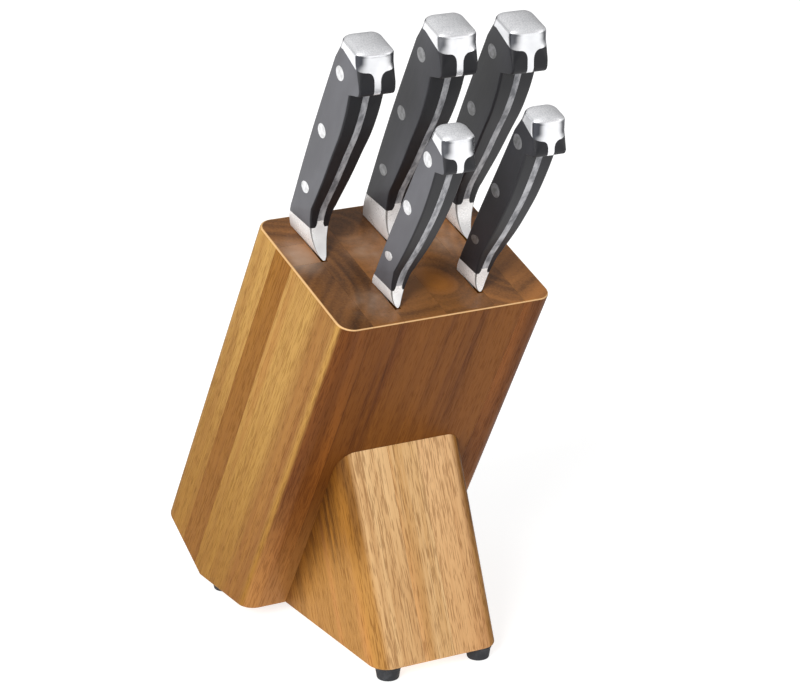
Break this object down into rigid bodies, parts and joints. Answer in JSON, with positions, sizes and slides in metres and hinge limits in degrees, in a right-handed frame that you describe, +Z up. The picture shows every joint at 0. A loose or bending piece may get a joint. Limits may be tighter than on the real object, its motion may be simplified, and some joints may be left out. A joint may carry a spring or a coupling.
{
  "type": "knife block with knives",
  "caption": "Leaning hardwood block on a wedge foot, slotted along the lean for forged kitchen knives that lift out by their riveted handles.",
  "frame": {"origin": "middle of the footprint, on the table under the rubber feet", "axes": "+Z up; the block leans forward towards -Y over its wedge foot; +X to the right as seen from the front"},
  "size_m": [0.11, 0.244, 0.317],
  "materials": {
    "wood_light": "oiled acacia, light stave",
    "wood_dark": "oiled acacia, dark stave",
    "wood_core": "oiled acacia heartwood",
    "wood_foot": "oiled acacia with fine dark pores",
    "dowel": "plain beech dowel",
    "rubber": "matt moulded rubber",
    "screw": "zinc plated",
    "steel": "polished butt cap and bolster, satin tang and blade",
    "handle_black": "satin black moulded scale",
    "rivet": "bright flush rivet"
  },
  "bodies": {
    "block": {"core_left": "wood_core", "core_mid_left": "wood_core", "core_mid_right": "wood_core", "core_right": "wood_core", "left_stave_front": "wood_light", "left_stave_middle": "wood_dark", "left_stave_back": "wood_light", "right_stave_front": "wood_light", "right_stave_middle": "wood_dark", "right_stave_back": "wood_light", "dowel_left": "dowel", "dowel_right": "dowel", "foot_stave_left": "wood_foot", "foot_stave_middle": "wood_foot", "foot_stave_right": "wood_foot", "rubber_foot_front_left": "rubber", "rubber_foot_front_right": "rubber", "rubber_foot_back_left": "rubber", "rubber_foot_back_right": "rubber", "foot_screw_front_left": "screw", "foot_screw_front_right": "screw", "foot_screw_back_left": "screw", "foot_screw_back_right": "screw"},
    "carving_knife": {"carving_knife_forging": "steel", "carving_knife_scale_left": "handle_black", "carving_knife_scale_right": "handle_black", "carving_knife_rivet_low": "rivet", "carving_knife_rivet_mid": "rivet", "carving_knife_rivet_top": "rivet"},
    "chef_knife": {"chef_knife_forging": "steel", "chef_knife_scale_left": "handle_black", "chef_knife_scale_right": "handle_black", "chef_knife_rivet_low": "rivet", "chef_knife_rivet_mid": "rivet", "chef_knife_rivet_top": "rivet"},
    "bread_knife": {"bread_knife_forging": "steel", "bread_knife_scale_left": "handle_black", "bread_knife_scale_right": "handle_black", "bread_knife_rivet_low": "rivet", "bread_knife_rivet_mid": "rivet", "bread_knife_rivet_top": "rivet"},
    "utility_knife": {"utility_knife_forging": "steel", "utility_knife_scale_left": "handle_black", "utility_knife_scale_right": "handle_black", "utility_knife_rivet_low": "rivet", "utility_knife_rivet_mid": "rivet", "utility_knife_rivet_top": "rivet"},
    "paring_knife": {"paring_knife_forging": "steel", "paring_knife_scale_left": "handle_black", "paring_knife_scale_right": "handle_black", "paring_knife_rivet_low": "rivet", "paring_knife_rivet_mid": "rivet", "paring_knife_rivet_top": "rivet"}
  },
  "joints": [
    {"name": "carving_knife_slide", "type": "slide", "parent": "block", "child": "carving_knife", "axis": [0, -0.515, 0.8572], "range_m": [0, 0.205]},
    {"name": "chef_knife_slide", "type": "slide", "parent": "block", "child": "chef_knife", "axis": [0, -0.515, 0.8572], "range_m": [0, 0.205]},
    {"name": "bread_knife_slide", "type": "slide", "parent": "block", "child": "bread_knife", "axis": [0, -0.515, 0.8572], "range_m": [0, 0.205]},
    {"name": "utility_knife_slide", "type": "slide", "parent": "block", "child": "utility_knife", "axis": [0, -0.5736, 0.8192], "range_m": [0, 0.14]},
    {"name": "paring_knife_slide", "type": "slide", "parent": "block", "child": "paring_knife", "axis": [0, -0.5736, 0.8192], "range_m": [0, 0.105]}
  ]
}
